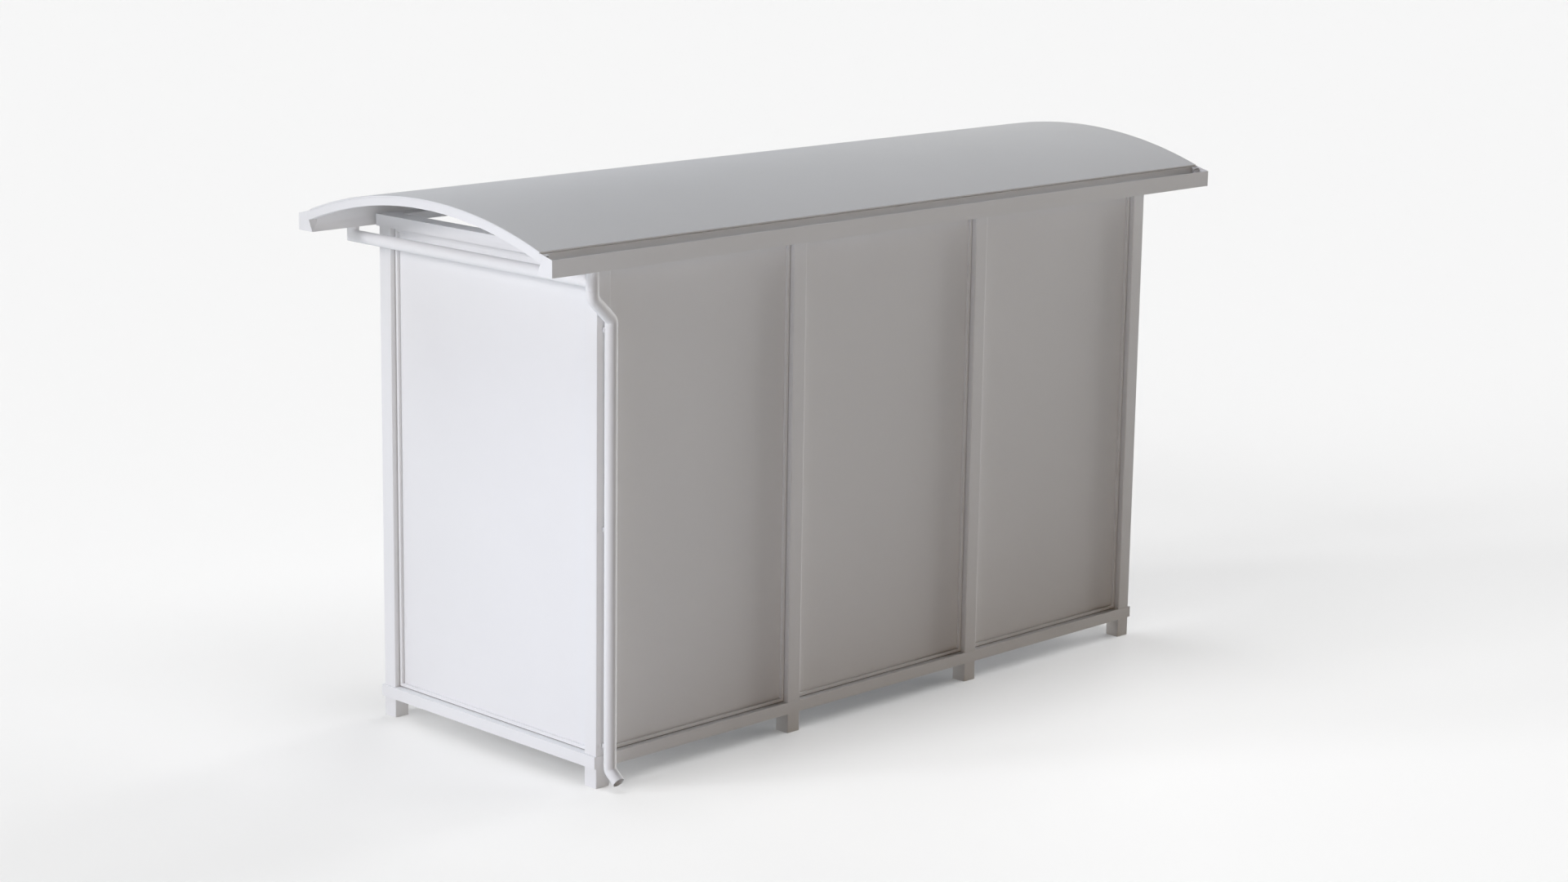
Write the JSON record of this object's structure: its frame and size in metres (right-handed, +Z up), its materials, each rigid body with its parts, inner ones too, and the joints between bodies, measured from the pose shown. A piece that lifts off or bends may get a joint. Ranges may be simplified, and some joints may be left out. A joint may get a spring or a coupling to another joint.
{
  "type": "waiting shelter",
  "caption": "Free-standing bus or tram stop shelter: square posts, panelled back and ends, open front, low arched roof with gutters and a rainwater pipe.",
  "frame": {"origin": "on the ground, at the centre of the roof's outline", "axes": "+X along the length, towards the end with the rainwater pipe; +Y towards the back wall; +Z up"},
  "size_m": [4.477, 1.7648, 2.6055],
  "materials": {
    "posts": "satin powder coat, pale grey",
    "feet": "satin powder coat, pale grey",
    "rails": "satin powder coat, pale grey",
    "beads": "satin powder coat, pale grey",
    "panels": "smooth satin, pale grey, opaque",
    "roof": "satin, pale grey, opaque",
    "ribs": "satin powder coat, pale grey",
    "gutters": "satin, pale grey",
    "pipes": "smooth satin, pale grey"
  },
  "bodies": {
    "root": {"bottom_rail_left": "rails", "bottom_rail_rear": "rails", "bottom_rail_right": "rails", "end_rib_left": "ribs", "end_rib_right": "ribs", "foot_front_left": "feet", "foot_front_right": "feet", "foot_rear_left": "feet", "foot_rear_middle_1": "feet", "foot_rear_middle_2": "feet", "foot_rear_right": "feet", "front_header": "rails", "gutter_cap_front_left": "gutters", "gutter_cap_front_right": "gutters", "gutter_cap_rear_left": "gutters", "gutter_cap_rear_right": "gutters", "gutter_front": "gutters", "gutter_rear": "gutters", "panel_frame_left": "beads", "panel_frame_rear_1": "beads", "panel_frame_rear_2": "beads", "panel_frame_rear_3": "beads", "panel_frame_right": "beads", "panel_left": "panels", "panel_rear_1": "panels", "panel_rear_2": "panels", "panel_rear_3": "panels", "panel_right": "panels", "pipe_bracket_1": "pipes", "pipe_bracket_2": "pipes", "pipe_bracket_3": "pipes", "pipe_cross": "pipes", "pipe_down": "pipes", "pipe_front_elbow": "pipes", "pipe_offset": "pipes", "pipe_rear_branch": "pipes", "pipe_shoe": "pipes", "post_front_left": "posts", "post_front_right": "posts", "post_rear_left": "posts", "post_rear_middle_1": "posts", "post_rear_middle_2": "posts", "post_rear_right": "posts", "rib_1": "ribs", "rib_2": "ribs", "rib_3": "ribs", "roof_sheet": "roof", "saddle_front_1": "ribs", "saddle_front_2": "ribs", "saddle_front_3": "ribs", "saddle_rear_1": "ribs", "saddle_rear_2": "ribs", "saddle_rear_3": "ribs", "top_rail_left": "rails", "top_rail_rear": "rails", "top_rail_right": "rails"}
  },
  "joints": []
}
